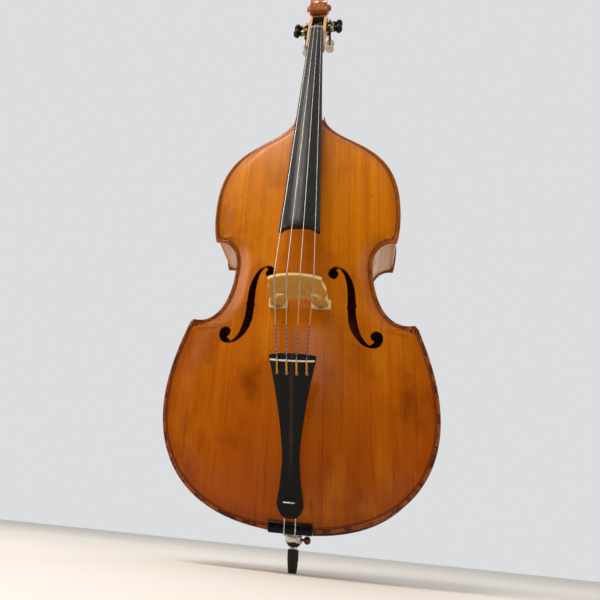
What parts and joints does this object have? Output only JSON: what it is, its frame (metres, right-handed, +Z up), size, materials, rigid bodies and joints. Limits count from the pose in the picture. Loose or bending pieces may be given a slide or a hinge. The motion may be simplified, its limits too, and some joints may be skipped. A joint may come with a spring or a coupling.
{
  "type": "double bass",
  "caption": "Upright bowed string bass with arched body, sound holes, bridge on screw wheels, tailpiece, worm-geared tuners, carved scroll and sliding endpin.",
  "frame": {"origin": "middle of the flat underside of the endpin's rubber tip, on the endpin's axis", "axes": "+Z up along the body to the scroll, -Y out of the belly where the strings are, +X towards the treble (highest) string's side"},
  "size_m": [0.638, 0.4383, 1.8193],
  "materials": {
    "belly_spruce": "amber-orange varnish over spruce, glossy, worn",
    "varnished_maple": "amber-brown varnish over maple, glossy",
    "bare_wood": "plain unfinished wood",
    "bridge_maple": "oiled maple, satin",
    "ebony": "polished black ebony",
    "brass": "tarnished brass",
    "dark_bronze": "dark patinated bronze",
    "nickel_silver": "polished nickel silver",
    "steel": "plain steel",
    "string_steel": "flat-wound steel with silk at the ends",
    "aluminium": "polished aluminium, knurled edge",
    "rubber": "matt black rubber",
    "white_fret": "off-white",
    "brown_knob": "dark red-brown, moulded"
  },
  "bodies": {
    "root": {"top_plate": "belly_spruce", "saddle": "ebony", "back_plate": "varnished_maple", "rib_lower_bass": "varnished_maple", "rib_lower_treble": "varnished_maple", "rib_waist_bass": "varnished_maple", "rib_waist_treble": "varnished_maple", "rib_upper_bass": "varnished_maple", "rib_upper_treble": "varnished_maple", "corner_block_lower_bass": "bare_wood", "corner_block_lower_treble": "bare_wood", "corner_block_upper_bass": "bare_wood", "corner_block_upper_treble": "bare_wood", "end_block": "bare_wood", "neck_block": "bare_wood", "bass_bar": "bare_wood", "sound_post": "bare_wood", "neck": "varnished_maple", "fingerboard": "ebony", "nut": "ebony", "bridge_foot_bass": "bridge_maple", "bridge_foot_treble": "bridge_maple", "tailpiece": "ebony", "tailpiece_fret": "white_fret", "tail_wire": "steel", "endpin_plug": "ebony", "endpin_collar": "nickel_silver", "collar_bush": "rubber", "machine_plate_1": "dark_bronze", "machine_plate_2": "dark_bronze", "machine_plate_3": "dark_bronze", "machine_plate_4": "dark_bronze", "string_e": "string_steel", "string_a": "string_steel", "string_d": "string_steel", "string_g": "string_steel"},
    "bridge": {"bridge": "bridge_maple"},
    "wheel_bass": {"adjuster_wheel_bass": "aluminium"},
    "wheel_treble": {"adjuster_wheel_treble": "aluminium"},
    "endpin": {"endpin_rod": "steel", "endpin_ferrule": "nickel_silver", "endpin_tip": "rubber"},
    "thumbscrew": {"endpin_thumbscrew": "brown_knob"},
    "tuner_1": {"peg_1": "ebony", "gear_1": "brass"},
    "worm_1": {"worm_1": "dark_bronze", "key_1": "nickel_silver"},
    "tuner_2": {"peg_2": "ebony", "gear_2": "brass"},
    "worm_2": {"worm_2": "dark_bronze", "key_2": "nickel_silver"},
    "tuner_3": {"peg_3": "ebony", "gear_3": "brass"},
    "worm_3": {"worm_3": "dark_bronze", "key_3": "nickel_silver"},
    "tuner_4": {"peg_4": "ebony", "gear_4": "brass"},
    "worm_4": {"worm_4": "dark_bronze", "key_4": "nickel_silver"}
  },
  "joints": [
    {"name": "bridge_lift", "type": "slide", "parent": "root", "child": "bridge", "axis": [0, -1, 0], "range_m": [0, 0.008], "deforming": ["string_e", "string_a", "string_d", "string_g"]},
    {"name": "wheel_bass_turn", "type": "hinge", "parent": "bridge", "child": "wheel_bass", "pos_m": [-0.052, -0.1403, 0.58], "axis": [0, -1, 0], "range_deg": [0, 2306]},
    {"name": "wheel_treble_turn", "type": "hinge", "parent": "bridge", "child": "wheel_treble", "pos_m": [0.052, -0.1403, 0.58], "axis": [0, -1, 0], "range_deg": [0, 2306]},
    {"name": "endpin_slide", "type": "slide", "parent": "root", "child": "endpin", "axis": [0, 0, -1], "range_m": [0, 0.28]},
    {"name": "thumbscrew_turn", "type": "hinge", "parent": "root", "child": "thumbscrew", "pos_m": [0.03, 0, 0.0675], "axis": [1, 0, 0], "range_deg": [0, 360]},
    {"name": "tuner_1_turn", "type": "hinge", "parent": "root", "child": "tuner_1", "pos_m": [0, 0.03197, 1.6476], "axis": [1, 0, 0], "continuous": true},
    {"name": "worm_1_turn", "type": "hinge", "parent": "root", "child": "worm_1", "pos_m": [-0.0395, 0.02334, 1.62911], "axis": [0, 0.9063, -0.4226], "continuous": true},
    {"name": "tuner_2_turn", "type": "hinge", "parent": "root", "child": "tuner_2", "pos_m": [0, 0.04295, 1.67117], "axis": [1, 0, 0], "continuous": true},
    {"name": "worm_2_turn", "type": "hinge", "parent": "root", "child": "worm_2", "pos_m": [0.0395, 0.03433, 1.65268], "axis": [0, 0.9063, -0.4226], "continuous": true},
    {"name": "tuner_3_turn", "type": "hinge", "parent": "root", "child": "tuner_3", "pos_m": [0, 0.05394, 1.69473], "axis": [1, 0, 0], "continuous": true},
    {"name": "worm_3_turn", "type": "hinge", "parent": "root", "child": "worm_3", "pos_m": [-0.0395, 0.04532, 1.67624], "axis": [0, 0.9063, -0.4226], "continuous": true},
    {"name": "tuner_4_turn", "type": "hinge", "parent": "root", "child": "tuner_4", "pos_m": [0, 0.06493, 1.71829], "axis": [1, 0, 0], "continuous": true},
    {"name": "worm_4_turn", "type": "hinge", "parent": "root", "child": "worm_4", "pos_m": [0.0395, 0.05631, 1.69981], "axis": [0, 0.9063, -0.4226], "continuous": true}
  ],
  "couplings": [
    {"joint": "wheel_bass_turn", "follows": "bridge_lift", "rad_per_m": 5026.5},
    {"joint": "wheel_treble_turn", "follows": "bridge_lift", "rad_per_m": 5026.5},
    {"joint": "tuner_1_turn", "follows": "worm_1_turn", "ratio": -0.0625},
    {"joint": "tuner_2_turn", "follows": "worm_2_turn", "ratio": -0.0625},
    {"joint": "tuner_3_turn", "follows": "worm_3_turn", "ratio": -0.0625},
    {"joint": "tuner_4_turn", "follows": "worm_4_turn", "ratio": -0.0625}
  ]
}
